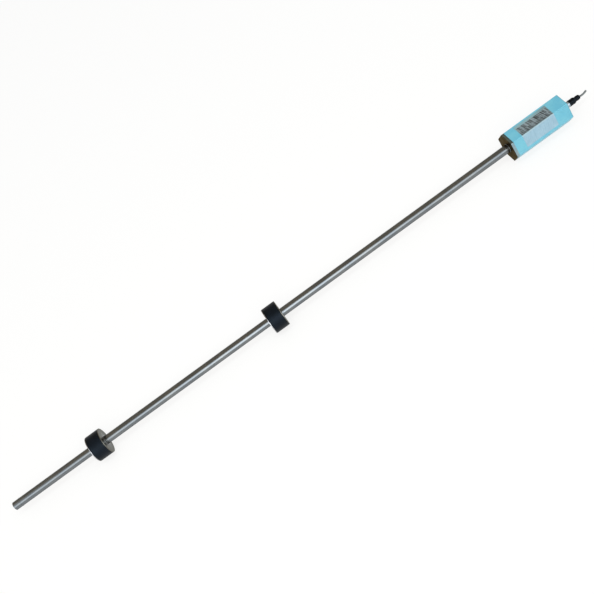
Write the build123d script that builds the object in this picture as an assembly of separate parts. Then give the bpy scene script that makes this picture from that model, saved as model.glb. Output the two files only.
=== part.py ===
from build123d import *
import math
import os

# Magnetostrictive position sensor: a hexagonal head, a stainless probe and two magnet floats.
# The probe's axis is X. The origin is on that axis, at the mounting face of the end plate.
# The head lies towards +X and the probe's tip towards -X. +Z is up as the sensor lies on a bench.
# All sizes are in millimetres.

# Clearances
slip = 0.05  # between two pieces of one assembly that slide together
float_play = 0.75  # radial, between a float's sleeve and the probe
end_play = 0.4  # left at each end of a float's travel

# Probe
rod_length = 1100.0  # from the mounting face to the tip
rod_radius = 8.0
tube_wall = 1.5
tube_tail = 10.0  # how far the tube reaches into the head
plug_land = 14.0
plug_spigot = 10.0
tip_chamfer = 0.5
weld_chamfer = 0.35

# Waveguide
wire_radius = 0.35
wire_sleeve_bore = 0.5
wire_sleeve_radius = 1.6
return_thickness = 0.8  # a square copper conductor, laid along the sleeve
link_size = (3.0, 4.0, 7.0)
tip_damper_length = 30.0
spacer_count = 4
spacer_length = 6.0
tube_seal_length = 12.0

# Head shell
head_flats = 50.0
head_length = 123.0  # from the mounting face to the cable end
head_corner = 1.5
plate_thickness = 4.0
cap_thickness = 3.5
gasket_thickness = 1.5
gasket_width = 2.4
head_bore = 20.0
spigot_length = 3.0
tie_screws = 3
screw_circle = 23.6
screw_radius = 1.5
screw_bite = 2.8  # how far a tie screw reaches into the mounting plate
screw_head_radius = 2.75
screw_head_height = 2.0

# Label on the head
label_start = 24.5
label_length = 68.5
label_thickness = 0.25
label_upper_width = 25.5  # on the top face, from the ridge
label_lower_width = 24.0  # on the face in front, from the ridge

# Carrier for the electronics
carrier_disc = 3.0
deck_width = 29.0
deck_thickness = 2.0
deck_drop = 13.0  # underside of the deck below the axis
keel_thickness = 2.0
ledge_height = 2.5  # of the ledges that carry the main board, above the deck
ledge_width = 1.5
rail_side = 16.4  # outside of a rail, from the middle
rail_thickness = 2.0
lip_thickness = 1.2
lip_width = 1.0  # how far a rail's lip reaches over the board

# Circuit boards
board_thickness = 1.6
main_board_start = 13.0
main_board_length = 82.0
upper_board_start = 62.0
upper_board_length = 32.0
upper_board_width = 26.0
upper_board_height = 6.0  # underside above the axis
pillar_width = 4.0
pillar_side = 10.0

# Transducer
bobbin_start = 24.0
bobbin_length = 16.0
flange_thickness = 2.0
bobbin_core = 4.0
coil_width = 9.2
magnet_size = (10.0, 6.0, 1.8)
damper_start = 43.0
damper_length = 12.0
damper_width = 10.0
damper_top = 5.0
clip_thickness = 0.6
shield_start = 21.0
shield_length = 37.0
shield_width = 17.0
shield_top = 8.2
shield_wall = 0.5

# Terminal block
terminal_poles = 3
terminal_pitch = 4.0
terminal_length = 12.0
terminal_width = 13.0
terminal_height = 8.0
terminal_entry = 2.0
terminal_depth = 7.0
lead_radius = 0.55
lead_sides = 8
cable_tail = 106.0  # where the jacket ends inside the head

# Cable gland
gland_thread = 6.0
gland_bore = 2.4
washer_thickness = 1.0
collar_flats = 15.0
collar_length = 5.0
neck_radius = 6.0
neck_length = 6.1
stub_radius = 5.0
stub_length = 8.0
seal_bore = 4.2
seal_depth = 9.0
nut_radius = 6.45
nut_end_radius = 5.85
nut_mouth_radius = 4.9
nut_length = 13.5
nut_dome = 2.7  # length of the nut's rounded end
nut_exit = 3.2
nut_flats = 12.2
nut_flat_length = 7.5
locknut_flats = 17.0
locknut_length = 4.0
boot_length = 9.9
boot_neck_radius = 4.2  # where it leaves the nut
boot_radius = 4.75  # at its thickest
boot_shoulder_radius = 4.35  # where its rounded end starts
boot_end_radius = 3.0
boot_round = 1.6  # length of the rounded end
boot_stem = 2.6
boot_flare = 0.6  # what the boot's bore leaves round the cable at its end

# Cable pigtail: its route starts in the nut, where the boot's stem starts
cable_radius = 1.8
pigtail_steps = [(10.8, 0.0, 0.0), (10.6, 0.0, -2.3), (8.45, 3.7, -0.6)]

# Floats
float_radius = 25.5
float_length = 28.8
upper_float_place = -519.0
lower_float_place = -911.0
disc_thickness = 1.2
disc_inset = 0.2  # the disc is this much smaller than the body all round
float_round = 0.6
sleeve_wall = 0.7
magnet_radius = 15.0
magnet_length = 8.0

# Places that follow from the sizes above
tube_bore = rod_radius - tube_wall
tube_start = plug_land - rod_length
return_top = -wire_sleeve_radius - slip
return_bottom = return_top - return_thickness
link_start = tube_start + plug_spigot + 1
damper_tip_start = link_start + link_size[0]
sleeve_start = damper_tip_start + tip_damper_length
housing_start = plate_thickness + gasket_thickness
cap_start = head_length - cap_thickness
housing_end = cap_start - gasket_thickness
plate_back = housing_start + spigot_length
cap_inside = housing_end - spigot_length
deck_top = deck_thickness - deck_drop
board_underside = deck_top + ledge_height
board_top = board_underside + board_thickness
board_side = rail_side - rail_thickness - slip
upper_board_top = upper_board_height + board_thickness
collar_start = head_length + washer_thickness
neck_start = collar_start + collar_length
stub_start = neck_start + neck_length
stub_end = stub_start + stub_length
seal_end = stub_end + 0.5
nut_start = stub_start + 0.6
nut_mouth = nut_start + nut_length
stem_start = nut_mouth - boot_stem


def bar(sketch, x_from, x_to):
    """A prism along X. The sketch's own axes are Y and Z."""
    return extrude(Plane.YZ.offset(x_from) * sketch, x_to - x_from)


def shaft(radius, x_from, x_to, y=0.0, z=0.0):
    """A cylinder along X whose axis is at y, z."""
    return bar(Pos(y, z) * Circle(radius), x_from, x_to)


def turned(points):
    """A solid turned about the probe's axis, from corners given as (x, radius)."""
    outline = make_face(Polyline(*points, close=True))
    return revolve(outline, axis=Axis.X)


def block(x_from, x_to, width, z_from, z_to, y=0.0):
    """A box between two places on X and two heights, centred on y."""
    size = (x_to - x_from, width, z_to - z_from)
    middle = ((x_from + x_to) / 2, y, (z_from + z_to) / 2)
    return Pos(*middle) * Box(*size)


def post(radius, x, y, z_from, z_to):
    """An upright cylinder."""
    centre = Pos(x, y, (z_from + z_to) / 2)
    return centre * Cylinder(radius, z_to - z_from)


def group(solids):
    """Several separate solids that share one node."""
    return Compound(list(solids))


def hexagon(flats, corner=0.0):
    """A hexagon with a flat at its top and bottom."""
    outline = RegularPolygon(flats / 2, 6, major_radius=False)
    if corner:
        outline = fillet(outline.vertices(), corner)
    return outline


def tie_screw_places():
    """The tie screws' centres, one in every second corner of the hexagon."""
    for number in range(tie_screws):
        angle = math.radians(number * 360 / tie_screws)
        yield screw_circle * math.cos(angle), screw_circle * math.sin(angle)


def make_tie_screws():
    """The long screws that draw the cap, the housing and the mounting plate together."""
    screws = []
    for y, z in tie_screw_places():
        shank = shaft(screw_radius, plate_thickness - screw_bite, head_length, y, z)
        head = shaft(screw_head_radius, head_length, head_length + screw_head_height, y, z)
        screws.append(shank + head)
    return group(screws)


def tie_screw_holes(x_from, x_to):
    """What the tie screws need cut between two places."""
    return [shaft(screw_radius + slip, x_from, x_to, y, z) for y, z in tie_screw_places()]


def make_probe():
    """The tube and the plug that is welded into its tip."""
    tube = turned(
        [
            (tube_start, tube_bore),
            (tube_start, rod_radius - weld_chamfer),
            (tube_start + weld_chamfer, rod_radius),
            (tube_tail, rod_radius),
            (tube_tail, tube_bore),
        ]
    )
    spigot_radius = tube_bore - slip
    plug = turned(
        [
            (-rod_length, 0),
            (-rod_length, rod_radius - tip_chamfer),
            (tip_chamfer - rod_length, rod_radius),
            (tube_start - weld_chamfer, rod_radius),
            (tube_start, rod_radius - weld_chamfer),
            (tube_start, spigot_radius),
            (tube_start + plug_spigot, spigot_radius),
            (tube_start + plug_spigot, 0),
        ]
    )
    return {"probe_tube": tube, "tip_plug": plug}


def make_waveguide():
    """The waveguide wire and what carries it inside the tube."""
    seal_end = tube_tail - 1
    seal_start = seal_end - tube_seal_length
    sleeve_end = shield_start - 1.5
    wire_end = damper_start + damper_length - 1
    sleeve = shaft(wire_sleeve_radius, sleeve_start, sleeve_end)
    sleeve -= shaft(wire_sleeve_bore, sleeve_start - 1, sleeve_end + 1)
    inside = tube_bore - slip
    slot_width = return_thickness + 2 * slip
    slot_bottom = return_bottom - slip
    wire_slot = block(link_start - 1, sleeve_start, slot_width, slot_bottom, wire_radius + slip)
    return_slot = block(link_start, tube_tail, slot_width, slot_bottom, 0)
    sleeve_reach = wire_sleeve_radius + slip
    sleeve_window = block(sleeve_start, seal_start, 2 * sleeve_reach, slot_bottom, sleeve_reach)

    link_bottom = wire_sleeve_radius - link_size[2]
    link = block(link_start, damper_tip_start, link_size[1], link_bottom, wire_sleeve_radius)
    damper = shaft(inside, damper_tip_start, sleeve_start)
    seal = shaft(inside, seal_start, seal_end) - shaft(sleeve_reach, seal_start - 1, seal_end + 1)
    pitch = (seal_start - sleeve_start) / (spacer_count + 1)
    spacers = []
    for number in range(spacer_count):
        start = sleeve_start + (number + 1) * pitch - spacer_length / 2
        spacers.append(bar(RegularPolygon(inside, 6), start, start + spacer_length) - sleeve_window)
    return {
        "waveguide_wire": shaft(wire_radius, link_start, wire_end),
        "waveguide_sleeve": sleeve,
        "return_wire": make_return_wire(),
        "waveguide_end_link": link - wire_slot,
        "tip_damper": damper - wire_slot,
        "centring_spacers": group(spacers),
        "tube_seal": seal - return_slot,
    }


def make_return_wire():
    """The return wire: straight through the tube, then down to the front of the main board."""
    bend_start = tube_tail + 5
    bend_end = bend_start + return_thickness
    along = block(link_start, bend_end, return_thickness, return_bottom, return_top)
    down = block(bend_start, bend_end, return_thickness, board_top, return_top)
    return along + down


def make_plate():
    """The mounting plate on the probe's side, with the spigot that centres it in the housing."""
    plate = bar(hexagon(head_flats, head_corner), 0, plate_thickness)
    plate += shaft(head_bore - 2 * slip, plate_thickness, plate_back)
    plate -= shaft(rod_radius, -1, plate_back + 1)
    for hole in tie_screw_holes(plate_thickness - screw_bite - slip, plate_back):
        plate -= hole
    return plate


def make_cap():
    """The end cap on the cable's side, with its spigot and the gland's hole."""
    cap = bar(hexagon(head_flats, head_corner), cap_start, head_length)
    cap += shaft(head_bore - 2 * slip, cap_inside, cap_start)
    cap -= shaft(gland_thread + slip, cap_inside - 1, head_length + 1)
    for hole in tie_screw_holes(cap_start - 1, head_length + 1):
        cap -= hole
    return cap


def make_gasket(x_from):
    """A gasket frame that seals one end of the housing outside the screws."""
    frame = hexagon(head_flats, head_corner) - hexagon(head_flats - 2 * gasket_width)
    return bar(frame, x_from, x_from + gasket_thickness)


def make_housing():
    """The hexagonal housing, bored through, with a passage for each tie screw."""
    housing = bar(hexagon(head_flats, head_corner), housing_start, housing_end)
    housing -= shaft(head_bore, housing_start - 1, housing_end + 1)
    for hole in tie_screw_holes(housing_start - 1, housing_end + 1):
        housing -= hole
    return housing


def make_label():
    """A foil that wraps the ridge between the top face and the face in front of it."""
    outer = hexagon(head_flats + 2 * label_thickness, head_corner + label_thickness)
    foil = outer - hexagon(head_flats, head_corner)
    apothem = head_flats / 2
    side = head_flats / math.sqrt(3)
    ridge = (-side / 2, apothem)
    down = (-0.5, -math.sqrt(3) / 2)
    outward = (-math.sqrt(3) / 2, 0.5)
    reach = 4.0
    lower = (ridge[0] + label_lower_width * down[0], ridge[1] + label_lower_width * down[1])
    upper_edge = ridge[0] + label_upper_width
    window = Polyline(
        (upper_edge, apothem - reach),
        (upper_edge, apothem + reach),
        (ridge[0] - reach, apothem + reach),
        (lower[0] + reach * outward[0], lower[1] + reach * outward[1]),
        (lower[0] - reach * outward[0], lower[1] - reach * outward[1]),
        close=True,
    )
    return bar(foil & make_face(window), label_start, label_start + label_length)


def pillar_places():
    """The pillars that carry the upper board."""
    ends = (upper_board_start + 4, upper_board_start + upper_board_length - 10)
    return [(x, side * pillar_side) for x in ends for side in (-1, 1)]


def make_carrier():
    """The moulded carrier: a deck on a keel, two grooved rails for the main board, and a front stop."""
    start = plate_back + slip
    end = cap_inside - slip
    groove_top = board_top + slip
    groove_bottom = board_underside - slip
    shoulder = deck_top + 0.5
    right = [
        (deck_width / 2, -deck_drop),
        (rail_side, shoulder),
        (rail_side, groove_top + lip_thickness),
        (board_side - lip_width, groove_top + lip_thickness),
        (board_side - lip_width, groove_top),
        (rail_side - rail_thickness, groove_top),
        (rail_side - rail_thickness, groove_bottom),
        (board_side - ledge_width, groove_bottom),
        (board_side - ledge_width, deck_top),
    ]
    left = [(-y, z) for y, z in reversed(right)]
    section = make_face(Polyline(*right, *left, close=True))
    carrier = bar(section, start, end)
    carrier += block(start, end, keel_thickness, slip - head_bore, -deck_drop)
    stop_end = start + carrier_disc
    stop = shaft(head_bore - 3 * slip, start, stop_end)
    stop -= shaft(rod_radius + 4 * slip, start - 1, stop_end + 1)
    stop -= block(start - 1, stop_end + 1, 2 * head_bore, -2, head_bore)
    return carrier + stop


def make_boards():
    """The two boards, and the pillars and the header between them."""
    main_end = main_board_start + main_board_length
    upper_end = upper_board_start + upper_board_length
    half_pillar = pillar_width / 2
    pillars = [
        block(x - half_pillar, x + half_pillar, pillar_width, board_top, upper_board_height, y)
        for x, y in pillar_places()
    ]
    header_start = upper_board_start + 12
    main_board = block(main_board_start, main_end, 2 * board_side, board_underside, board_top)
    upper_board = block(upper_board_start, upper_end, upper_board_width, upper_board_height, upper_board_top)
    return {
        "main_board": main_board,
        "interface_board": upper_board,
        "board_pillars": group(pillars),
        "board_header": block(header_start, header_start + 2.5, 15, board_top, upper_board_height),
    }


def make_circuit_parts():
    """The larger parts on both boards, each as (start, side, length, width, height)."""
    on_main = [(80.0, 0.0, 9.0, 9.0, 5.0), (69.0, -9.0, 4.5, 4.0, 1.6), (65.0, 0.0, 7.0, 7.0, 1.6)]
    on_upper = [(69.0, 2.0, 10.0, 8.0, 1.8), (64.0, -1.5, 3.5, 5.0, 2.2)]
    parts = [block(x, x + length, width, board_top, board_top + height, y=y)
             for x, y, length, width, height in on_main]
    parts += [block(x, x + length, width, upper_board_top, upper_board_top + height, y=y)
              for x, y, length, width, height in on_upper]
    parts.append(post(2.5, 75.0, -8.0, upper_board_top, upper_board_top + 5.5))
    return group(parts)


def make_transducer():
    """The pickup coil, its magnet, the wire's damper and the shield over them."""
    wire_way = shaft(wire_radius + slip, bobbin_start - 1, damper_start + damper_length + 1)
    flange = -2 * board_top
    bobbin_end = bobbin_start + bobbin_length
    core_from = bobbin_start + flange_thickness
    core_to = bobbin_end - flange_thickness
    bobbin = bar(Rectangle(flange, flange), bobbin_start, core_from)
    bobbin += bar(Rectangle(bobbin_core, bobbin_core), core_from, core_to)
    bobbin += bar(Rectangle(flange, flange), core_to, bobbin_end)
    winding = Rectangle(coil_width, coil_width) - Rectangle(bobbin_core, bobbin_core)
    magnet_length, magnet_width, magnet_height = magnet_size
    magnet_start = (core_from + core_to - magnet_length) / 2
    magnet_end = magnet_start + magnet_length
    magnet = block(magnet_start, magnet_end, magnet_width, board_top, board_top + magnet_height)
    damper_end = damper_start + damper_length
    damper = block(damper_start, damper_end, damper_width, board_top, damper_top)
    clip_from = damper_start + damper_length / 4
    clip_to = damper_end - damper_length / 4
    clip_width = damper_width + 2 * clip_thickness
    clip = block(clip_from, clip_to, clip_width, board_top, damper_top + clip_thickness)
    clip -= block(clip_from - 1, clip_to + 1, damper_width, board_top - 1, damper_top)
    shield_end = shield_start + shield_length
    shield = block(shield_start, shield_end, shield_width, board_top, shield_top)
    inside = shield_width - 2 * shield_wall
    hollow_from = shield_start + shield_wall
    hollow_to = shield_end - shield_wall
    shield -= block(hollow_from, hollow_to, inside, board_top - 1, shield_top - shield_wall)
    entry = wire_sleeve_radius
    shield -= block(shield_start - 1, shield_start + 1, 2 * entry, board_top - 1, entry)
    return {
        "pickup_bobbin": bobbin - wire_way,
        "pickup_coil": bar(winding, core_from, core_to),
        "bias_magnet": magnet,
        "head_damper": damper - wire_way,
        "damper_clip": clip,
        "shield_can": shield,
    }


def terminal_sides():
    """The side places of the terminal block's poles."""
    first = -(terminal_poles - 1) * terminal_pitch / 2
    return [first + number * terminal_pitch for number in range(terminal_poles)]


def make_terminals():
    """The terminal block and the leads that run from the cable to it."""
    end = upper_board_start + upper_board_length
    start = end - terminal_length
    entry_height = upper_board_top + terminal_height / 2 - 1
    half_entry = terminal_entry / 2
    housing = block(start, end, terminal_width, upper_board_top, upper_board_top + terminal_height)
    leads = []
    core_circle = cable_radius - lead_radius - slip
    for number, y in enumerate(terminal_sides()):
        entry_floor = entry_height - half_entry
        entry_roof = entry_height + half_entry
        housing -= block(end - terminal_depth, end + 1, terminal_entry, entry_floor, entry_roof, y)
        angle = math.radians(210 + number * 360 / terminal_poles)
        core = (core_circle * math.cos(angle), core_circle * math.sin(angle))
        path = Polyline(
            (end - terminal_depth + 0.5, y, entry_height),
            (end + 2, y, entry_height),
            (cable_tail - 1, *core),
            (cable_tail, *core),
        )
        place = Plane.YZ.offset(end - terminal_depth + 0.5) * Pos(y, entry_height)
        section = place * RegularPolygon(lead_radius, lead_sides)
        leads.append(sweep(section, path, transition=Transition.RIGHT))
    return {
        "terminal_block": housing,
        "lead_wires": group(leads),
    }


def pigtail_points():
    """The pigtail's route as points, from the boot's stem on."""
    points = [Vector(stem_start, 0, 0)]
    for step in pigtail_steps:
        points.append(points[-1] + Vector(*step))
    return points


def make_pigtail():
    """The free cable: straight runs joined by arcs as large as the runs allow."""
    points = pigtail_points()
    runs = [end - start for start, end in zip(points, points[1:])]
    radii = []
    for before, after in zip(runs, runs[1:]):
        half_turn = math.radians(before.get_angle(after)) / 2
        radii.append(0.45 * min(before.length, after.length) / math.tan(half_turn))
    path = FilletPolyline(*points, radius=radii)
    cable = sweep(Plane.YZ.offset(stem_start) * Circle(cable_radius), path=path)
    expected = math.pi * cable_radius**2 * path.length
    print("pigtail length", round(path.length, 2), "radii", [round(radius, 1) for radius in radii])
    print("pigtail volume", round(cable.volume, 2), "expected", round(expected, 2))
    return cable


def make_nut():
    """The gland's cap nut: a slight taper to a domed mouth, and six flats for the spanner."""
    bore = stub_radius + slip
    dome_start = nut_mouth - nut_dome
    dome_middle = (nut_mouth - nut_dome / 3, nut_end_radius / 3 + nut_mouth_radius * 2 / 3 + 0.2)
    side = Polyline((nut_start, bore), (nut_start, nut_radius), (dome_start, nut_end_radius))
    dome = ThreePointArc((dome_start, nut_end_radius), dome_middle, (nut_mouth, nut_mouth_radius))
    inside = Polyline(
        (nut_mouth, nut_mouth_radius),
        (nut_mouth, nut_exit),
        (seal_end, nut_exit),
        (seal_end, bore),
        (nut_start, bore),
    )
    nut = revolve(make_face(side + dome + inside), axis=Axis.X)
    around = Circle(2 * nut_radius) - hexagon(nut_flats)
    return nut - bar(around, nut_start - 1, nut_start + nut_flat_length)


def make_gland():
    """The gland's pieces, from the lock nut inside the head to the cap nut."""
    shank_start = cap_inside - locknut_length - 1
    body = shaft(gland_thread, shank_start, collar_start)
    body += bar(hexagon(collar_flats), collar_start, neck_start)
    body += shaft(neck_radius, neck_start, stub_start)
    body += shaft(stub_radius, stub_start, stub_end)
    body -= shaft(gland_bore, shank_start - 1, stub_end)
    body -= shaft(seal_bore, stub_end - seal_depth, stub_end + 1)
    washer = shaft(gland_thread + 2, head_length, collar_start)
    washer -= shaft(gland_thread + slip, head_length - 1, collar_start + 1)
    locknut = bar(hexagon(locknut_flats), cap_inside - locknut_length, cap_inside)
    locknut -= shaft(gland_thread + slip, cap_inside - locknut_length - 1, cap_inside + 1)
    seal = shaft(seal_bore - slip, stub_end - seal_depth, seal_end)
    seal -= shaft(cable_radius + slip, stub_end - seal_depth - 1, seal_end + 1)
    return {
        "gland_body": body,
        "gland_washer": washer,
        "gland_locknut": locknut,
        "gland_seal": seal,
        "gland_cap_nut": make_nut(),
        "cable_inside": shaft(cable_radius, cable_tail, stem_start),
    }


def make_boot():
    """The soft boot of the free cable: a stem in the nut, and a barrel whose bore widens outwards."""
    end = nut_mouth + boot_length
    boot_bore = cable_radius + 2 * slip
    stem_radius = nut_exit - slip
    shoulder = end - boot_round
    barrel = ThreePointArc(
        (nut_mouth, boot_neck_radius),
        (nut_mouth + boot_length / 2, boot_radius),
        (shoulder, boot_shoulder_radius),
    )
    rounding = ThreePointArc(
        (shoulder, boot_shoulder_radius),
        (end - boot_round / 4, (boot_shoulder_radius + boot_end_radius) / 2),
        (end, boot_end_radius),
    )
    inside = Polyline(
        (end, boot_end_radius),
        (end, cable_radius + boot_flare),
        (nut_mouth, boot_bore),
        (stem_start, boot_bore),
        (stem_start, stem_radius),
        (nut_mouth, stem_radius),
        (nut_mouth, boot_neck_radius),
    )
    return revolve(make_face(barrel + rounding + inside), axis=Axis.X)


def make_float(name, place):
    """One float: a black body with a ring magnet, between the flange of its sleeve and an end disc."""
    half = float_length / 2
    inner = half - disc_thickness
    bore = rod_radius + float_play
    sleeve_radius = bore + sleeve_wall
    hole = sleeve_radius + slip
    pocket = magnet_radius + slip
    pocket_floor = inner - magnet_length
    edge = float_radius - disc_inset
    body = turned(
        [
            (-inner, hole),
            (-inner, float_radius - float_round),
            (float_round - inner, float_radius),
            (inner - float_round, float_radius),
            (inner, float_radius - float_round),
            (inner, pocket),
            (pocket_floor, pocket),
            (pocket_floor, hole),
        ]
    )
    sleeve = turned(
        [
            (-half, bore),
            (-half, edge),
            (-inner, edge),
            (-inner, sleeve_radius),
            (half, sleeve_radius),
            (half, bore),
        ]
    )
    pieces = {
        "body": body,
        "flanged_sleeve": sleeve,
        "end_disc": shaft(edge, inner, half) - shaft(hole, inner - 1, half + 1),
        "magnet": shaft(magnet_radius, pocket_floor, inner) - shaft(hole, pocket_floor - 1, inner + 1),
    }
    return {f"{name}_{piece}": Pos(place, 0, 0) * solid for piece, solid in pieces.items()}


def print_travel():
    """Print how far each float can slide: the two share the rod up to midway between them."""
    half = float_length / 2
    shared = (upper_float_place + lower_float_place) / 2
    upper = (shared + half + end_play - upper_float_place, -half - end_play - upper_float_place)
    lower = (half - rod_length - lower_float_place, shared - half - end_play - lower_float_place)
    for name, travel in (("upper", upper), ("lower", lower)):
        print(name, "float travel", [round(end, 2) for end in travel])


def make_all():
    """Every node of the sensor by name."""
    nodes = make_probe()
    nodes.update(make_waveguide())
    nodes["mounting_plate"] = make_plate()
    nodes["front_gasket"] = make_gasket(plate_thickness)
    nodes["head_housing"] = make_housing()
    nodes["rear_gasket"] = make_gasket(housing_end)
    nodes["rear_cap"] = make_cap()
    nodes["tie_screws"] = make_tie_screws()
    nodes["name_label"] = make_label()
    nodes["carrier"] = make_carrier()
    nodes["circuit_parts"] = make_circuit_parts()
    nodes.update(make_boards())
    nodes.update(make_transducer())
    nodes.update(make_terminals())
    nodes.update(make_gland())
    nodes["cable_boot"] = make_boot()
    nodes["cable_pigtail"] = make_pigtail()
    nodes.update(make_float("upper_float", upper_float_place))
    nodes.update(make_float("lower_float", lower_float_place))
    return nodes


os.makedirs("parts", exist_ok=True)
for node, shape in make_all().items():
    export_step(shape, f"parts/{node}.step")
print_travel()
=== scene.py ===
import math
from functools import cached_property

import bpy
from mathutils import Matrix, Vector


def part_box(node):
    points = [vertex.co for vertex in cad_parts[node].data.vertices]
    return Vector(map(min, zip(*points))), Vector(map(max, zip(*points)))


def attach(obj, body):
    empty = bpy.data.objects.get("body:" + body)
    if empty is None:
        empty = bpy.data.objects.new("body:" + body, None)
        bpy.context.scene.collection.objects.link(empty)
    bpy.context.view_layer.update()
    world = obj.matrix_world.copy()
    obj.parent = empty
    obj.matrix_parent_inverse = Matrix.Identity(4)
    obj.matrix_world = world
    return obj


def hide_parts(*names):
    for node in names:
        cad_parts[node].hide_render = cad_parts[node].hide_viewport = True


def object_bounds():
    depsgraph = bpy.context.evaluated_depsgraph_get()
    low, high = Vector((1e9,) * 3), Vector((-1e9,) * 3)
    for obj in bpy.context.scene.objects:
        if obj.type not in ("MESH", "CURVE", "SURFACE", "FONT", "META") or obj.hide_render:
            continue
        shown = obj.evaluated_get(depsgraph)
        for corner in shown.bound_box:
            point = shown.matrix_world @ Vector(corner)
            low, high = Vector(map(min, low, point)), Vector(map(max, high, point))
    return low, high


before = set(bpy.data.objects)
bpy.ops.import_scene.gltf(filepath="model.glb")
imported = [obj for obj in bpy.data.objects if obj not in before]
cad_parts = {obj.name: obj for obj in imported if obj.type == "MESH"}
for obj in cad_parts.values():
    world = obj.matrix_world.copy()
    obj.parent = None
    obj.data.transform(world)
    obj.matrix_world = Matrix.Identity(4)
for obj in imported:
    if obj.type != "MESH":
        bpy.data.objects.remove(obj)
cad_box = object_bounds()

# The sensor lies along X: the probe's tip towards -X, the head and its cable towards +X.
# Sizes are in metres, apart from those of the surface patterns, which are in millimetres.

MM = 0.001
FULL_TURN = 2 * math.pi

# Places that the construction gives
TIP = cad_box[0][0]
TUBE_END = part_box("probe_tube")[0][0]  # where the tip's plug is welded to the tube
ROD_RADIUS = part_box("probe_tube")[1][1]
HEAD_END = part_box("rear_cap")[1][0]
HEAD_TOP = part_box("head_housing")[1][2]
LABEL_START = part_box("name_label")[0][0]
SCREW_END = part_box("tie_screws")[0][0]
SCREW_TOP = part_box("tie_screws")[1][0]

# The cable, whose route is the construction's
CABLE_DIAMETER = 3.6 * MM
CABLE_ROUTE = [(0.1466, 0, 0), (0.1574, 0, 0), (0.168, 0, -0.0023), (0.17645, 0.0037, -0.0029)]

# The three cores at the cable's cut end
CORES = 3
CORE_RADIUS = 0.55 * MM
CORE_WALL = 0.42 * CORE_RADIUS
CORE_CIRCLE = 0.8 * MM
CORE_LENGTH = 1.5 * MM
CORE_PROUD = 0.06 * MM

# Tie screws
TIE_SCREWS = 3
SCREW_CIRCLE = 23.6 * MM
SCREW_RADIUS = 1.5 * MM
SCREW_HEAD_RADIUS = 2.75 * MM
SCREW_CHAMFER = 0.3 * MM
SOCKET_RADIUS = 1.45 * MM
SOCKET_DEPTH = 1.2 * MM

# Weld beads, and the rolled lips of the floats' sleeves
PLATE_WELD_RADIUS = ROD_RADIUS + 0.1 * MM
PLATE_WELD_THICKNESS = 0.5 * MM
PLATE_WELD_RIPPLES = 40
TIP_WELD_THICKNESS = 0.35 * MM
TIP_WELD_RIPPLES = 60
RIPPLE_SWELL = (1.2, 1.012, 1.012)
RIPPLE_LEAN = 0.15  # of the bead's thickness
LIP_RADIUS = 9.55 * MM
LIP_THICKNESS = 0.45 * MM
LIP_FLATNESS = 0.6

# Grip ribs of the gland's nut
RIBS = 18
RIBS_FROM, RIBS_TO = 143.4 * MM, 146.6 * MM
RIB_RADIUS = 5.85 * MM
RIB_WIDTH = 0.8 * MM
RIB_HEIGHT = 0.35 * MM
RIB_TAPER = (0.82, 0.5, 1)
RIB_ROUNDING = 0.08 * MM


# Camera

VIEW_ELEVATION = math.radians(54.7)
VIEW_ROLL = math.radians(36.0)
VIEW_DISTANCE = 1.570
VIEW_LENS = 52.7
VIEW_SENSOR = 36
VIEW_REACH = 50
VIEW_CENTRE = -466.0 * MM  # along the rod
VIEW_OFFSET = 6.4 * MM  # the rod runs this far below the middle of the picture


def add_camera():
    """The photograph's camera: above and in front of the rod, and rolled to bring the head up."""
    sine, cosine = math.sin(VIEW_ELEVATION), math.cos(VIEW_ELEVATION)
    along = Vector((1, 0, 0))
    away = Vector((0, sine, cosine))
    towards_camera = Vector((0, -cosine, sine))
    right = along * math.cos(VIEW_ROLL) - away * math.sin(VIEW_ROLL)
    up = along * math.sin(VIEW_ROLL) + away * math.cos(VIEW_ROLL)
    target = along * VIEW_CENTRE + away * VIEW_OFFSET
    place = target + towards_camera * VIEW_DISTANCE
    turn = Matrix((right, up, towards_camera)).transposed()
    data = bpy.data.cameras.new("camera")
    data.lens = VIEW_LENS
    data.sensor_width = VIEW_SENSOR
    data.clip_end = VIEW_REACH
    camera = bpy.data.objects.new("camera", data)
    camera.matrix_world = Matrix.Translation(place) @ turn.to_4x4()
    bpy.context.scene.collection.objects.link(camera)
    bpy.context.scene.camera = camera


# Shader tools


class Field:
    """A node's output. Arithmetic on one that is a number adds Math nodes to its tree."""

    def __init__(self, shader, socket):
        self.shader = shader
        self.socket = socket

    def maths(self, operation, first, second):
        return self.shader.node("Math", {"operation": operation}, {0: first, 1: second})

    def __add__(self, other):
        return self.maths("ADD", self, other)

    def __radd__(self, other):
        return self.maths("ADD", other, self)

    def __sub__(self, other):
        return self.maths("SUBTRACT", self, other)

    def __rsub__(self, other):
        return self.maths("SUBTRACT", other, self)

    def __mul__(self, other):
        return self.maths("MULTIPLY", self, other)

    def __rmul__(self, other):
        return self.maths("MULTIPLY", other, self)

    def __truediv__(self, other):
        return self.maths("DIVIDE", self, other)

    def __pow__(self, other):
        return self.maths("POWER", self, other)


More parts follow.
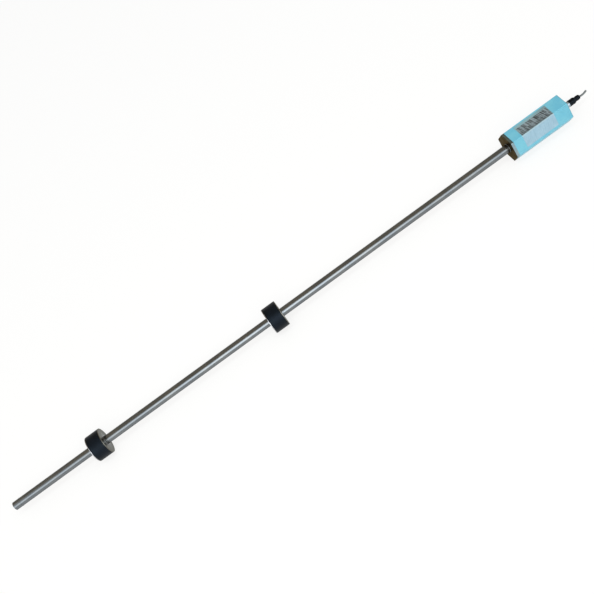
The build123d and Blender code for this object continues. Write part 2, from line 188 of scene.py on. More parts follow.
class Shader:
    """A node tree, and the ways of adding to it."""

    def __init__(self, tree):
        self.tree = tree

    def feed(self, socket, value):
        """Lead a field into a socket, or set the socket to a constant."""
        if isinstance(value, Field):
            self.tree.links.new(value.socket, socket)
        else:
            socket.default_value = value

    def outputs(self, kind, settings=None, inputs=None):
        """Add a node with its settings and inputs, and give its outputs."""
        node = self.tree.nodes.new("ShaderNode" + kind)
        for key, value in (settings or {}).items():
            setattr(node, key, value)
        for key, value in (inputs or {}).items():
            self.feed(node.inputs[key], value)
        return node.outputs

    def node(self, kind, settings=None, inputs=None, output=0):
        """Add a node, and give one of its outputs as a field."""
        return Field(self, self.outputs(kind, settings, inputs)[output])

    def axes(self, place):
        """The three coordinates of a place."""
        return [Field(self, output) for output in self.outputs("SeparateXYZ", inputs={0: place})]

    def fade(self, value, low, high, to_low=0.0, to_high=1.0, course="SMOOTHSTEP"):
        """Goes from to_low to to_high as the value goes from low to high, by default smoothly."""
        inputs = {"Value": value, "From Min": low, "From Max": high, "To Min": to_low, "To Max": to_high}
        return self.node("MapRange", {"interpolation_type": course}, inputs)

    def between(self, value, low, high, soft):
        """1 where the value lies between low and high, else 0."""
        rising = self.fade(value, low - soft, low + soft)
        return rising * self.fade(value, high - soft, high + soft, 1.0, 0.0)

    def blend(self, mask, first, second):
        """A colour that is first where the mask is 0 and second where it is 1."""
        return self.node("Mix", {"data_type": "RGBA"}, {0: mask, 6: first, 7: second}, output=2)

    def wave(self, angle):
        return self.node("Math", {"operation": "SINE"}, {0: angle})

    def whole(self, value):
        return self.node("Math", {"operation": "FLOOR"}, {0: value})


class Finish(Shader):
    """One material: a Principled shader whose patterns are placed in millimetres on the object."""

    def __init__(self, name, **constants):
        self.name = name
        self.material = bpy.data.materials.new(name)
        self.material.use_nodes = True
        super().__init__(self.material.node_tree)
        self.skin = self.tree.nodes["Principled BSDF"]
        self.set(**constants)

    def set(self, **values):
        """Set the shader's sockets to constants or lead fields into them."""
        for name, value in values.items():
            socket = name.replace("_", " ").title().replace("Ior", "IOR")
            self.feed(self.skin.inputs[socket], value)

    @cached_property
    def place(self):
        """The place on the object, in millimetres."""
        where = self.node("TexCoord", output="Object")
        return self.node("VectorMath", {"operation": "SCALE"}, {0: where, "Scale": 1 / MM})

    def stretched(self, x, y, z):
        """The place with each axis scaled, for patterns that run one way."""
        return self.node("VectorMath", {"operation": "MULTIPLY"}, {0: self.place, 1: (x, y, z)})

    def flat_place(self, across, up=0.0):
        """A place made of one or two fields, for patterns that follow the surface."""
        return self.node("CombineXYZ", inputs={0: across, 1: up, 2: 0.0})

    def noise(self, scale, detail, roughness, place=None):
        inputs = {"Vector": place or self.place, "Scale": scale, "Detail": detail, "Roughness": roughness}
        return self.node("TexNoise", inputs=inputs)

    def pebble(self, scale):
        return self.node("TexVoronoi", inputs={"Vector": self.place, "Scale": scale}, output="Distance")

    def mottled(self, cloud, dark, light, low=0.35, high=0.7):
        """Two tones of a colour, as a screen shows them, that follow a cloudy field."""
        return self.blend(self.fade(cloud, low, high), shade(*dark), shade(*light))

    def tinged(self, mask, colour, tone):
        """A colour that turns to a tone, as a screen shows it, where the mask is 1."""
        return self.blend(mask, colour, shade(*tone))

    def bump(self, height, depth, strength):
        """Relief: the height runs from 0 to 1 and the depth is in millimetres."""
        inputs = {"Height": height, "Distance": depth * MM, "Strength": strength}
        self.set(normal=self.node("Bump", inputs=inputs))

    def around_axis(self):
        """The distance from the rod's axis."""
        _, y, z = self.axes(self.place)
        return (y * y + z * z) ** 0.5


def shade(red, green, blue):
    """A colour as a screen shows it, from 0 to 255, as the linear values that the shaders take."""
    linear = []
    for value in (red, green, blue):
        part = value / 255
        linear.append(part / 12.92 if part <= 0.04045 else ((part + 0.055) / 1.055) ** 2.4)
    return (*linear, 1.0)


# Surface finishes, with places in millimetres

WHITE = (255, 255, 255)
BLUE_SHEEN = {"gloss": 0.2, "sheen": (196, 218, 240)}  # of the black pieces
HEAD_APOTHEM = HEAD_TOP / MM  # from the rod's axis to each flat of the head
FLAT_WIDTH = 2 * HEAD_APOTHEM / math.sqrt(3)  # of each of the head's six flats
RIDGE_SIDE = -FLAT_WIDTH / 2  # the ridge between the top flat and the one in front of it
PRINT_START = 0.5  # above the ridge
PRINT_ROW = 9.9
PRINT_ROWS = 2
PRINT_FROM, PRINT_TO = 1.0, 67.2  # along the label
PRINT_GAP = 0.35  # kept clear at the top and the foot of each row
BAR_LEAN = 0.25
ROW_SHIFT = 17.0  # so that no two rows are alike
STREAK_LEAN = 0.15
TRACK_LANE = 1.3
LANE_SHIFT = 11.0  # so that no two tracks are alike
DISC_RIM = 23.4
DISC_EDGE_ON = (212, 212, 210)  # its tint where it is seen at a grazing angle
PLATE_TURNING = 5.0  # radians for each millimetre of radius
WINDING = 30.0  # radians for each millimetre of length


def polished_rod():
    """Ground and polished stainless: faint runs along the rod, fainter rings round it, soft patches."""
    finish = Finish("polished_rod", metallic=1.0, specular_tint=shade(190, 190, 190))
    x, _, _ = finish.axes(finish.place)
    rings = finish.noise(1.0, 3, 0.6, finish.stretched(1.4, 0.05, 0.05))
    runs = finish.noise(1.0, 3, 0.6, finish.stretched(0.02, 1.1, 1.1))
    patches = finish.noise(0.03, 4, 0.6)
    end_face = finish.fade(x, TIP / MM + 0.1, TIP / MM + 1.0, 0.6, 0.0)
    colour = finish.mottled(patches, (115, 120, 124), (126, 129, 130), 0.35, 0.65)
    colour = finish.tinged(finish.fade(runs, 0.5, 0.75) * 0.3, colour, (104, 102, 98))
    colour = finish.tinged(finish.fade(rings, 0.52, 0.7) * 0.3, colour, (104, 104, 102))
    colour = finish.tinged(end_face, colour, (52, 52, 50))
    finish.set(base_color=colour, roughness=0.16 + patches * 0.05 + runs * 0.05 + rings * 0.04)
    return finish


def in_front_of_ridge(finish):
    """1 on the head's sides in front of the ridge, else 0."""
    _, y, _ = finish.axes(finish.place)
    return finish.fade(y, RIDGE_SIDE - 1.0, RIDGE_SIDE + 0.6, 1.0, 0.0)


def polished_plate():
    """The mounting plate: bright steel at its rim, with painted shade on top and painted light in front,
    and a turned face whose brown is a painted reflection, with painted shade around the rod.
    """
    finish = Finish("polished_plate", metallic=1.0, specular_tint=shade(176, 170, 160))
    x, _, _ = finish.axes(finish.place)
    radius = finish.around_axis()
    plate_cloud = finish.noise(0.09, 5, 0.65)
    rim = finish.fade(x, 0.1, 0.4)
    painted_shade_near_rod = finish.fade(radius, 9.0, 18.0, 1.0, 0.0)
    # Painted reflection: the face's brown stands in for brown surroundings mirrored in the steel.
    brown = finish.mottled(plate_cloud, (80, 73, 62), (100, 92, 78))
    # Painted shade: the face is darker around the rod.
    brown = finish.tinged(painted_shade_near_rod * 0.5, brown, (60, 58, 52))
    # Painted light and shade: the rim is darker on top and lighter in front of the ridge.
    shaded_upper_rim = finish.mottled(plate_cloud, (112, 130, 132), (124, 140, 142))
    lit_front_rim = finish.mottled(plate_cloud, (144, 167, 175), (154, 177, 184))
    steel = finish.blend(in_front_of_ridge(finish), shaded_upper_rim, lit_front_rim)
    finish.set(base_color=finish.blend(rim, brown, steel), roughness=0.3 - rim * 0.1 + plate_cloud * 0.1)
    finish.bump(finish.wave(radius * PLATE_TURNING), 0.001, 0.3)
    return finish


def blue_paint():
    """Pale blue stoved paint: a slight orange peel, faint blotches and a darker edge at the cable end."""
    finish = Finish("blue_paint")
    x, _, _ = finish.axes(finish.place)
    blotch = finish.noise(0.05, 4, 0.6)
    fine = finish.noise(0.5, 3, 0.5)
    peel = finish.noise(0.9, 2, 0.4)
    cable_end = finish.fade(x, HEAD_END / MM - 1.6, HEAD_END / MM - 0.2)
    colour = finish.mottled(blotch, (98, 177, 204), (111, 186, 208), 0.3, 0.7)
    colour = finish.tinged(finish.fade(fine, 0.55, 0.8) * 0.25, colour, (126, 191, 208))
    colour = finish.tinged(cable_end * 0.55, colour, (92, 128, 138))
    finish.set(base_color=colour, roughness=0.36 + blotch * 0.12)
    finish.bump(peel, 0.03, 0.35)
    return finish


def print_rows(finish, along, above, clouds):
    """The label's ink: two rows of dark bars, thick and thin, denser towards the cable."""
    row = finish.whole((above - PRINT_START) / PRINT_ROW)
    up_row = above - PRINT_START - row * PRINT_ROW
    bar_place = finish.flat_place(along + above * BAR_LEAN, row * ROW_SHIFT)
    bars = finish.noise(0.52, 2, 0.55, bar_place)
    thin_bars = finish.noise(1.5, 1, 0.5, bar_place)
    towards_cable = finish.fade(along, 20.0, 60.0)
    near_ridge = finish.fade(above, PRINT_START, 7.0, 1.0, 0.0)
    in_row = finish.between(up_row, PRINT_GAP, PRINT_ROW - PRINT_GAP, 0.12)
    ink = finish.mottled(clouds, (88, 100, 104), (122, 136, 144), 0.36, 0.62)
    ink = finish.tinged(finish.fade(thin_bars, 0.5, 0.56) * 0.35, ink, (60, 70, 74))
    ink = finish.tinged(finish.fade(bars, 0.5, 0.54) * (towards_cable * 0.25 + 0.7), ink, (40, 47, 50))
    ink = finish.tinged(finish.fade(bars, 0.46, 0.42) * 0.6, ink, (156, 172, 180))
    ink = finish.tinged(near_ridge * 0.3, ink, (52, 58, 62))
    return finish.blend(in_row, shade(128, 142, 150), ink)


def front_panel(finish, along, below, clouds):
    """The label's light panel in front of the ridge, faintly streaked, with a painted highlight just under
    the ridge.
    """
    streak_place = finish.flat_place(along + below * STREAK_LEAN, below * 0.1)
    streaks = finish.noise(0.5, 3, 0.6, streak_place)
    panel = finish.mottled(clouds, (142, 177, 199), (151, 185, 206))
    panel = finish.tinged(finish.fade(streaks, 0.45, 0.65) * 0.55, panel, (129, 165, 187))
    # Painted highlight: a paler strip just under the ridge, where the foil bends.
    return finish.tinged(finish.between(below, 0.2, 1.6, 0.3) * 0.6, panel, (170, 192, 202))


def printed_label():
    """The label: rows of dark bars above the ridge in a plain margin, and a light panel in front."""
    finish = Finish("printed_label")
    x, y, z = finish.axes(finish.place)
    along = x - LABEL_START / MM
    above = y - RIDGE_SIDE
    below = (HEAD_APOTHEM - z) * (2 / math.sqrt(3))
    clouds = finish.noise(0.11, 4, 0.65)
    on_top = finish.fade(z, HEAD_APOTHEM - 0.1, HEAD_APOTHEM)
    margin = finish.blend(finish.fade(along, 35.0, 66.0), shade(127, 165, 174), shade(110, 140, 148))
    printed = finish.between(above, PRINT_START, PRINT_START + PRINT_ROWS * PRINT_ROW, 0.3)
    printed = printed * finish.between(along, PRINT_FROM, PRINT_TO, 0.4)
    top = finish.blend(printed, margin, print_rows(finish, along, above, clouds))
    colour = finish.blend(on_top, front_panel(finish, along, below, clouds), top)
    finish.set(base_color=colour, roughness=0.4 + clouds * 0.1)
    finish.bump(finish.noise(0.35, 3, 0.5), 0.02, 0.3)
    return finish


def rubber(name, dark, light, roughness=0.62, grain=1.6, depth=0.03, gloss=0.5, sheen=WHITE):
    """Moulded rubber or foam with a fine pebble."""
    finish = Finish(name, specular_ior_level=gloss, specular_tint=shade(*sheen))
    cloud = finish.noise(0.07, 4, 0.6)
    finish.set(base_color=finish.mottled(cloud, dark, light), roughness=roughness + cloud * 0.12)
    finish.bump(finish.pebble(grain), depth, 0.5)
    return finish


def gasket_lit_in_front():
    """The front gasket: dark green-grey rubber on top, and painted light on its front sides, which are
    lighter.
    """
    finish = Finish("gasket_rubber")
    cloud = finish.noise(0.15, 4, 0.6)
    bare = finish.mottled(cloud, (40, 58, 60), (54, 74, 76))
    lit_front_sides = finish.mottled(cloud, (108, 138, 148), (124, 154, 163))
    # Painted light: the gasket's sides in front of the ridge are lighter.
    colour = finish.blend(in_front_of_ridge(finish), bare, lit_front_sides)
    finish.set(base_color=colour, roughness=0.5 + cloud * 0.12)
    finish.bump(finish.pebble(1.6), 0.03, 0.4)
    return finish


def turned_metal(name, dark, light, roughness=0.26, pitch=9.0, rim=None, edge_on=WHITE):
    """Bright metal with the fine circles that turning leaves. With a rim's radius it has painted light
    near the axis and painted shade outwards and at the rim.
    """
    finish = Finish(name, metallic=1.0, specular_tint=shade(*edge_on))
    radius = finish.around_axis()
    circles = finish.noise(1.0, 3, 0.6, finish.flat_place(radius * pitch))
    colour = finish.mottled(finish.noise(0.1, 4, 0.6), dark, light)
    if rim:
        # Painted light and shade: lighter near the axis, darker outwards, and darker still at the rim.
        colour = finish.tinged(finish.fade(radius, 9.0, 20.0) * 0.7, colour, (112, 112, 106))
        colour = finish.tinged(finish.fade(radius, rim - 0.5, rim + 0.3) * 0.7, colour, (92, 88, 80))
    finish.set(base_color=colour, roughness=roughness + circles * 0.14)
    finish.bump(circles, 0.01, 0.5)
    return finish


def plastic(name, dark, light, roughness=0.42, grain=0.8, depth=0.02, gloss=0.5, sheen=WHITE):
    """Moulded plastic with a slight grain."""
    finish = Finish(name, specular_ior_level=gloss, specular_tint=shade(*sheen))
    grainy = finish.noise(grain, 4, 0.6)
    cloud = finish.noise(0.12, 3, 0.5)
    colour = finish.mottled(cloud, dark, light, 0.35, 0.65)
    finish.set(base_color=colour, roughness=roughness + grainy * 0.12)
    finish.bump(grainy, depth, 0.4)
    return finish


def board_laminate():
    """Green lacquered laminate with copper tracks under it."""
    finish = Finish("board_laminate")
    x, y, _ = finish.axes(finish.place)
    lane = y / TRACK_LANE
    lane_number = finish.whole(lane)
    reach = finish.noise(0.12, 1, 0.5, finish.flat_place(x, lane_number * LANE_SHIFT))
    tracks = finish.between(lane - lane_number, 0.35, 0.65, 0.05) * finish.fade(reach, 0.46, 0.5)
    weave = finish.noise(1.8, 2, 0.5)
    colour = finish.blend(weave * 0.5, shade(14, 92, 52), shade(20, 106, 60))
    colour = finish.tinged(tracks * 0.8, colour, (52, 142, 84))
    finish.set(base_color=colour, roughness=0.3 + weave * 0.1)
    finish.bump(tracks, 0.03, 0.5)
    return finish


def wound_copper():
    """Copper wire or winding: fine turns and a lacquered shine."""
    finish = Finish("wound_copper", metallic=1.0)
    x, _, _ = finish.axes(finish.place)
    cloud = finish.noise(0.4, 3, 0.5)
    colour = finish.mottled(cloud, (186, 104, 62), (206, 128, 84))
    finish.set(base_color=colour, roughness=0.25 + cloud * 0.15)
    finish.bump(finish.wave(x * WINDING), 0.02, 0.5)
    return finish


def make_finishes():
    """Every finish of the sensor by its name."""
    made = (
        polished_rod(),
        polished_plate(),
        blue_paint(),
        gasket_lit_in_front(),
        printed_label(),
        rubber("float_black", (5, 9, 14), (10, 15, 23), roughness=0.42, grain=1.3, **BLUE_SHEEN),
        plastic("gland_nylon", (4, 6, 10), (8, 11, 17), roughness=0.34, grain=1.2, **BLUE_SHEEN),
        rubber("boot_rubber", (5, 7, 11), (9, 12, 18), roughness=0.5, grain=2.2, depth=0.02, **BLUE_SHEEN),
        rubber("seal_rubber", (24, 24, 26), (36, 36, 38)),
        plastic("cable_jacket", (92, 99, 102), (110, 117, 119), roughness=0.5, grain=1.6, depth=0.03),
        plastic("core_insulation", (96, 34, 30), (120, 46, 40), roughness=0.4, grain=2.0, depth=0.01),
        turned_metal("turned_disc", (126, 129, 127), (152, 155, 153), rim=DISC_RIM, edge_on=DISC_EDGE_ON),
        turned_metal("drawn_metal", (150, 150, 152), (176, 176, 178), roughness=0.3),
        turned_metal("nickel_plate", (150, 166, 174), (172, 186, 194), roughness=0.3, pitch=5.0),
        turned_metal("plated_steel", (150, 152, 158), (178, 180, 184), roughness=0.3, pitch=5.0),
        plastic("sintered_ferrite", (44, 44, 48), (62, 61, 64), roughness=0.6, grain=2.0, depth=0.05),
        plastic("carrier_plastic", (30, 31, 34), (42, 43, 46), roughness=0.45),
        plastic("chip_plastic", (22, 22, 24), (34, 34, 37), roughness=0.5),
        plastic("terminal_plastic", (26, 108, 62), (38, 126, 74), roughness=0.4),
        board_laminate(),
        wound_copper(),
    )
    return {finish.name: finish for finish in made}


# The construction's nodes, by the finish that each takes
NODES_OF_FINISH = {
    "polished_rod": ["probe_tube", "tip_plug"],
    "polished_plate": ["mounting_plate"],
    "blue_paint": ["head_housing", "rear_cap", "rear_gasket"],
    "gasket_rubber": ["front_gasket"],
    "printed_label": ["name_label"],
    "float_black": ["upper_float_body", "lower_float_body"],
    "turned_disc": ["upper_float_end_disc", "lower_float_end_disc"],
    "drawn_metal": ["upper_float_flanged_sleeve", "lower_float_flanged_sleeve"],
    "sintered_ferrite": ["upper_float_magnet", "lower_float_magnet", "bias_magnet"],
    "gland_nylon": ["gland_cap_nut"],
    "nickel_plate": ["gland_body"],
    "boot_rubber": ["cable_boot"],
    "cable_jacket": ["cable_pigtail", "cable_inside"],
    "seal_rubber": [
        "gland_seal", "gland_washer", "tube_seal", "tip_damper", "head_damper", "centring_spacers",
    ],
    "carrier_plastic": ["carrier", "pickup_bobbin", "board_pillars", "board_header"],
    "board_laminate": ["main_board", "interface_board"],
    "chip_plastic": ["circuit_parts"],
    "terminal_plastic": ["terminal_block"],
    "wound_copper": ["pickup_coil", "return_wire", "lead_wires", "waveguide_end_link"],
    "plated_steel": [
        "waveguide_wire", "waveguide_sleeve", "damper_clip", "shield_can", "gland_locknut", "tie_screws",
    ],
}


def paint_nodes(finishes):
    """Give every node of the construction its finish."""
    for name, nodes in NODES_OF_FINISH.items():
        for node in nodes:
            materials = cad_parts[node].data.materials
            materials.clear()
            materials.append(finishes[name].material)


# Cable


def add_cable(jacket):
    """The short free cable, cut off bare, as one smooth curve along its route."""
    data = bpy.data.curves.new("cable", "CURVE")
    data.dimensions = "3D"
    data.bevel_depth = CABLE_DIAMETER / 2
    data.bevel_resolution = 6
    data.resolution_u = 24
    data.use_fill_caps = True
    spline = data.splines.new("NURBS")
    spline.points.add(len(CABLE_ROUTE) - 1)
    for point, place in zip(spline.points, CABLE_ROUTE):
        point.co = (*place, 1)
    spline.order_u = 3
    spline.use_endpoint_u = True
    data.materials.append(jacket.material)
    cable = bpy.data.objects.new("cable", data)
    bpy.context.scene.collection.objects.link(cable)
    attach(cable, "probe")
    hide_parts("cable_pigtail")


# Modelling tools


def select_only(piece):
    """Deselect all that is selected, the construction's nodes too, and select one piece or none."""
    if bpy.context.object and bpy.context.object.mode != "OBJECT":
        bpy.ops.object.mode_set(mode="OBJECT")
    bpy.ops.object.select_all(action="DESELECT")
    if piece:
        piece.select_set(True)
        bpy.context.view_layer.objects.active = piece


def choose(piece, wanted, kind="faces"):
    """Select the faces, or with kind the vertices, that the test wants, and go to edit mode."""
    select_only(piece)
    mode = {"faces": (False, False, True), "vertices": (True, False, False)}[kind]
    bpy.context.tool_settings.mesh_select_mode = mode
    bpy.ops.object.mode_set(mode="EDIT")
    bpy.ops.mesh.select_all(action="DESELECT")
    bpy.ops.object.mode_set(mode="OBJECT")
    items = piece.data.polygons if kind == "faces" else piece.data.vertices
    for item in items:
        item.select = wanted(item)
    bpy.ops.object.mode_set(mode="EDIT")


def choose_all(piece):
    choose(piece, lambda vertex: True, "vertices")


def apply_place():
    """Put the place, turn and scale of the selected object into its mesh."""
    bpy.ops.object.transform_apply(location=True, rotation=True, scale=True)


def apply_modifier(piece, kind, **settings):
    """Add a modifier to a piece and apply it."""
    select_only(piece)
    modifier = piece.modifiers.new(kind.lower(), kind)
    for key, value in settings.items():
        setattr(modifier, key, value)
    bpy.ops.object.modifier_apply(modifier=modifier.name)


def settle(piece, finish, body="probe", angle=40):
    """Put the piece's place into its mesh, smooth it, and say what it rides on and is made of."""
    select_only(piece)
    apply_place()
    bpy.ops.object.shade_smooth_by_angle(angle=math.radians(angle))
    piece.data.materials.clear()
    piece.data.materials.append(finish.material)
    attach(piece, body)


def add_round_bar(name, sides, radius, length, place, turn=(0, math.pi / 2, 0)):
    """A bar to shape further, which lies along X unless it is turned another way."""
    select_only(None)
    bpy.ops.mesh.primitive_cylinder_add(
        vertices=sides, radius=radius, depth=length, location=place, rotation=turn
    )
    bar = bpy.context.object
    bar.name = name
    apply_place()
    return bar


def add_ring(name, x, radius, thickness, segments=96, flatness=1.0):
    """A round bead about the rod's axis, flattened along it."""
    select_only(None)
    bpy.ops.mesh.primitive_torus_add(
        major_segments=segments,
        minor_segments=12,
        major_radius=radius,
        minor_radius=thickness,
        location=(x, 0, 0),
        rotation=(0, math.pi / 2, 0),
    )
    ring = bpy.context.object
    ring.name = name
    choose_all(ring)
    bpy.ops.transform.resize(value=(flatness, 1, 1), center_override=(x, 0, 0))
    select_only(ring)
    apply_place()
    return ring


# Pieces that only the looks have


def add_weld(name, x, radius, thickness, ripples, finish):
    """A weld bead: every third of its cross rings stands a little prouder and nearer to the tip."""
    weld = add_ring(name, x, radius, thickness, segments=3 * ripples)
    step = FULL_TURN / ripples

    def on_ripple(vertex):
        share = math.atan2(vertex.co.z, vertex.co.y) / step
        return abs(share - round(share)) < 0.1

    choose(weld, on_ripple, "vertices")
    bpy.ops.transform.resize(value=RIPPLE_SWELL, center_override=(x, 0, 0))
    bpy.ops.transform.translate(value=(-RIPPLE_LEAN * thickness, 0, 0))
    apply_modifier(weld, "SUBSURF", levels=1, render_levels=1)
    settle(weld, finish, angle=60)


def add_float_lips(finish):
    """The rolled end of each float's sleeve, where it holds the end disc."""
    for body in ("upper_float", "lower_float"):
        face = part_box(body + "_end_disc")[1][0]
        lip = add_ring(body + "_lip", face, LIP_RADIUS, LIP_THICKNESS, flatness=LIP_FLATNESS)
        settle(lip, finish, body)


def add_tie_screw(number, y, z, finish):
    """One tie screw: a chamfered head with a hexagon socket, and its long shank."""
    middle = ((HEAD_END + SCREW_TOP) / 2, y, z)
    head_height = SCREW_TOP - HEAD_END
    screw = add_round_bar(f"tie_screw_{number}", 48, SCREW_HEAD_RADIUS, head_height, middle)
    choose(screw, lambda face: face.normal.x > 0.9)
    bpy.ops.mesh.inset(thickness=SCREW_CHAMFER)
    choose(screw, lambda face: face.normal.x < -0.9)
    bpy.ops.mesh.inset(thickness=SCREW_HEAD_RADIUS - SCREW_RADIUS)
    bpy.ops.mesh.extrude_region_move(TRANSFORM_OT_translate={"value": (SCREW_END - HEAD_END, 0, 0)})

    def on_rim(vertex):
        reach = math.hypot(vertex.co.y - y, vertex.co.z - z)
        return vertex.co.x > SCREW_TOP - 0.01 * MM and reach > SCREW_HEAD_RADIUS - 0.01 * MM

    choose(screw, on_rim, "vertices")
    bpy.ops.transform.translate(value=(-SCREW_CHAMFER, 0, 0))
    socket = add_round_bar("socket", 6, SOCKET_RADIUS, 2 * SOCKET_DEPTH, (SCREW_TOP, y, z))
    apply_modifier(screw, "BOOLEAN", operation="DIFFERENCE", object=socket, solver="EXACT")
    bpy.data.objects.remove(socket)
    settle(screw, finish, angle=30)
    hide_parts("tie_screws")


def add_tie_screws(finish):
    for number in range(TIE_SCREWS):
        angle = FULL_TURN * number / TIE_SCREWS
        y, z = SCREW_CIRCLE * math.cos(angle), SCREW_CIRCLE * math.sin(angle)
        add_tie_screw(number + 1, y, z, finish)


def add_nut_ribs(finish):
    """The grip ribs round the gland's nut, as one piece."""
    place = ((RIBS_FROM + RIBS_TO) / 2, 0, RIB_RADIUS)
    select_only(None)
    bpy.ops.mesh.primitive_cube_add(size=1, location=place)
    rib = bpy.context.object
    rib.scale = (RIBS_TO - RIBS_FROM, RIB_WIDTH, 2 * RIB_HEIGHT)
    apply_place()
    choose(rib, lambda face: face.normal.z > 0.9)
    bpy.ops.transform.resize(value=RIB_TAPER, center_override=place)
    apply_modifier(rib, "BEVEL", width=RIB_ROUNDING, segments=2)
    ribs = [rib]
    for number in range(1, RIBS):
        copy = bpy.data.objects.new(f"rib_{number}", rib.data.copy())
        bpy.context.scene.collection.objects.link(copy)
        choose_all(copy)
        turn = FULL_TURN * number / RIBS
        bpy.ops.transform.rotate(value=turn, orient_axis="X", center_override=(0, 0, 0))
        ribs.append(copy)
    select_only(rib)
    for copy in ribs:
        copy.select_set(True)
    bpy.ops.object.join()
    rib.name = "gland_nut_ribs"
    settle(rib, finish)


def add_cable_cores(insulation, copper):
    """The cores that show at the cable's cut end, each with its bare copper."""
    before, end = (Vector(point) for point in CABLE_ROUTE[-2:])
    along = (end - before).normalized()
    turn = along.to_track_quat("Z", "Y")
    cores = []
    for number in range(CORES):
        angle = FULL_TURN * number / CORES
        middle = end + turn @ Vector((math.cos(angle), math.sin(angle), 0)) * CORE_CIRCLE
        place = middle - along * (CORE_LENGTH / 2 - CORE_PROUD)
        name = f"cable_core_{number + 1}"
        core = add_round_bar(name, 24, CORE_RADIUS, CORE_LENGTH, place, turn.to_euler())
        choose(core, lambda face: face.normal.dot(along) > 0.9)
        bpy.ops.mesh.inset(thickness=CORE_WALL)
        bpy.ops.mesh.extrude_region_move(TRANSFORM_OT_translate={"value": along * CORE_PROUD})
        settle(core, insulation, angle=35)
        core.data.materials.append(copper.material)
        wire_reach = CORE_RADIUS - 0.9 * CORE_WALL  # just past the bare wire
        for face in core.data.polygons:
            out = face.center - middle
            face.material_index = int(out.length < wire_reach and out.dot(along) > 0)
        cores.append(core)
    return cores


# Floor, cards and lights

FLOOR_REACH = 6.0
PAPER_GLOW = 0.8  # the share of its own white that the floor shows
SKY_LIGHT = 0.72  # the surroundings' light on things; camera and metal see them at 1
WALL_PLACE = 1.6  # the brown wall behind the rod
LID_HEIGHT = 2.6  # the brown ceiling, at the wall's upper edge
CARD_REACH = 4.0
# The ceiling's front edge, as x and y: beyond the tip it slants back
LID_FRONT = [(-CARD_REACH, 1.5), (-2.5, 1.2), (-1.65, -1.05), (CARD_REACH, -1.05)]
BROWN_GLOW = 1.25
CARD_FOOT = (-2.365, 0.28)  # the light card's lower edge, as y and z
CARD_HEAD = (-0.7, 2.28)
CARD_GLOW = 3.08
CARD_EDGE_GLOW = 0.72
CARD_BRIGHT_PLACE = -0.6  # along the card: what the rod mirrors beside the upper float
CARD_BRIGHT_REACH = 0.9
CARD_BRIGHT_SHARE = 1.6
CARD_FAR_SHARE = 0.9
LAMP_TARGET = Vector((-0.45, 0, 0))
SKY_COLOUR = (0.98, 0.98, 0.96, 1)
PAPER_COLOUR = (0.93, 0.93, 0.93, 1)


class Glow(Shader):
    """A card's material that gives off light of its own."""

    def __init__(self, name, colour):
        self.material = bpy.data.materials.new(name)
        self.material.use_nodes = True
        super().__init__(self.material.node_tree)
        self.tree.nodes.clear()
        light = self.node("Emission", inputs={"Color": colour})
        self.outputs("OutputMaterial", inputs={"Surface": light})
        self.strength = light.socket.node.inputs["Strength"]


def as_seen(shader, unseen, seen):
    """One number for the light that falls on things, and another for what camera, metal and glass see."""
    path = shader.outputs("LightPath")
    rays = ("Is Camera Ray", "Is Glossy Ray", "Is Transmission Ray")
    camera, glossy, transmission = (Field(shader, path[ray]) for ray in rays)
    return (camera + glossy + transmission) * (seen - unseen) + unseen


def add_sheet(name, corners, material):
    """A flat sheet that belongs to the studio."""
    mesh = bpy.data.meshes.new(name)
    mesh.from_pydata(corners, [], [tuple(range(len(corners)))])
    mesh.materials.append(material)
    sheet = bpy.data.objects.new(name, mesh)
    bpy.context.scene.collection.objects.link(sheet)
    return sheet


def add_card(name, corners, glow):
    """A studio card that polished metal shows and nothing else does."""
    card = add_sheet(name, corners, glow.material)
    card.visible_camera = False
    card.visible_diffuse = False
    card.visible_shadow = False
    card.visible_transmission = False
    card.visible_volume_scatter = False


def add_floor():
    """White paper that shows a little of its own glow to the camera and in polished metal."""
    paper = Finish("floor_paper", base_color=PAPER_COLOUR, roughness=0.8, specular_ior_level=0.1)
    shaded = Field(paper, paper.skin.outputs[0])
    glow = paper.node("Emission")
    share = as_seen(paper, 0.0, PAPER_GLOW)
    surface = paper.node("MixShader", inputs={0: share, 1: shaded, 2: glow})
    paper.feed(paper.tree.nodes["Material Output"].inputs["Surface"], surface)
    level = cad_box[0][2]
    near, far = -FLOOR_REACH, FLOOR_REACH
    corners = [(near, near, level), (far, near, level), (far, far, level), (near, far, level)]
    add_sheet("floor", corners, paper.material)


def front_card():
    """A light card that glows most along its middle, and where the rod mirrors it by the upper float."""
    card = Glow("front_card", (0.93, 0.97, 1.0, 1))
    x, _, z = card.axes(card.node("TexCoord", output="Object"))
    up_and_down = card.fade(z, CARD_FOOT[1], CARD_HEAD[1], 0.0, 2.0, "LINEAR")
    inwards = card.node("Math", {"operation": "PINGPONG"}, {0: up_and_down, 1: 1.0})
    aside = card.node("Math", {"operation": "ABSOLUTE"}, {0: x - CARD_BRIGHT_PLACE})
    glow = card.fade(inwards, 0.0, 1.0, CARD_EDGE_GLOW, CARD_GLOW)
    share = card.fade(aside, 0.0, CARD_BRIGHT_REACH, CARD_BRIGHT_SHARE, CARD_FAR_SHARE)
    card.feed(card.strength, glow * share)
    return card


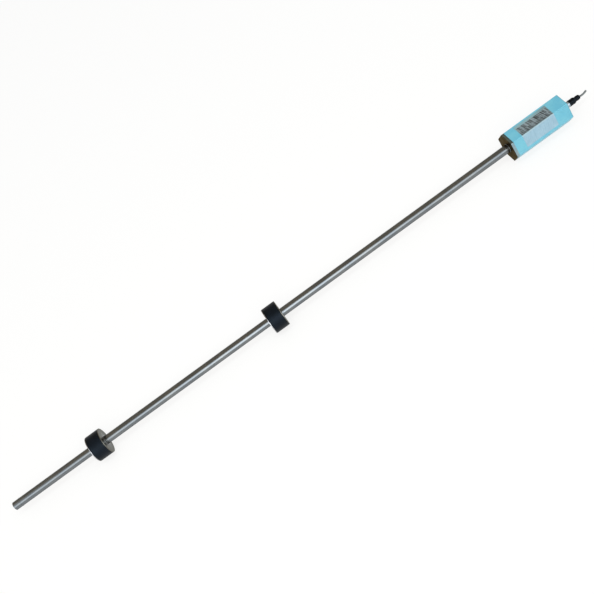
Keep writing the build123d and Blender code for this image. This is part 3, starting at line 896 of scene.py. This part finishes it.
def add_cards():
    """Brown cards for a workshop's far wall and ceiling, and a light card in front of the rod."""
    near, far = -CARD_REACH, CARD_REACH
    brown = Glow("brown_card", shade(158, 147, 130))
    brown.feed(brown.strength, BROWN_GLOW)
    wall = [(near, 0), (far, 0), (far, LID_HEIGHT), (near, LID_HEIGHT)]
    add_card("back_card", [(x, WALL_PLACE, z) for x, z in wall], brown)
    lid = [*LID_FRONT, (far, WALL_PLACE)]
    add_card("top_card", [(x, y, LID_HEIGHT) for x, y in lid], brown)
    front = [(near, *CARD_FOOT), (far, *CARD_FOOT), (far, *CARD_HEAD), (near, *CARD_HEAD)]
    add_card("light_card", front, front_card())


def add_lamp(name, place, size, power, colour):
    """A rectangular lamp that faces the middle of the rod. Metal doesn't mirror it."""
    data = bpy.data.lights.new(name, "AREA")
    data.color = colour
    data.shape = "RECTANGLE"
    data.size, data.size_y = size
    data.energy = power
    lamp = bpy.data.objects.new(name, data)
    lamp.location = place
    lamp.rotation_euler = (Vector(place) - LAMP_TARGET).to_track_quat("Z", "Y").to_euler()
    lamp.visible_glossy = False
    bpy.context.scene.collection.objects.link(lamp)


def add_lights():
    world = bpy.data.worlds.new("studio")
    world.use_nodes = True
    sky = Shader(world.node_tree)
    background = sky.tree.nodes["Background"]
    background.inputs["Color"].default_value = SKY_COLOUR
    sky.feed(background.inputs["Strength"], as_seen(sky, SKY_LIGHT, 1.0))
    bpy.context.scene.world = world
    add_lamp("overhead_softbox", (-0.45, -0.35, 2.4), size=(2.6, 0.5), power=18, colour=(0.94, 0.98, 1.0))
    add_lamp("front_softbox", (-0.6, -1.75, 1.75), size=(3.0, 1.0), power=21, colour=(1.0, 0.93, 0.74))


add_camera()
finishes = make_finishes()
rod_steel = finishes["polished_rod"]
paint_nodes(finishes)
cores = add_cable_cores(finishes["core_insulation"], finishes["wound_copper"])
add_cable(finishes["cable_jacket"])
add_weld("plate_weld", 0, PLATE_WELD_RADIUS, PLATE_WELD_THICKNESS, PLATE_WELD_RIPPLES, rod_steel)
add_weld("tip_weld", TUBE_END, ROD_RADIUS, TIP_WELD_THICKNESS, TIP_WELD_RIPPLES, rod_steel)
add_float_lips(finishes["drawn_metal"])
add_tie_screws(finishes["plated_steel"])
add_nut_ribs(finishes["gland_nylon"])
add_floor()
add_cards()
add_lights()
bpy.context.scene.view_settings.view_transform = "Standard"
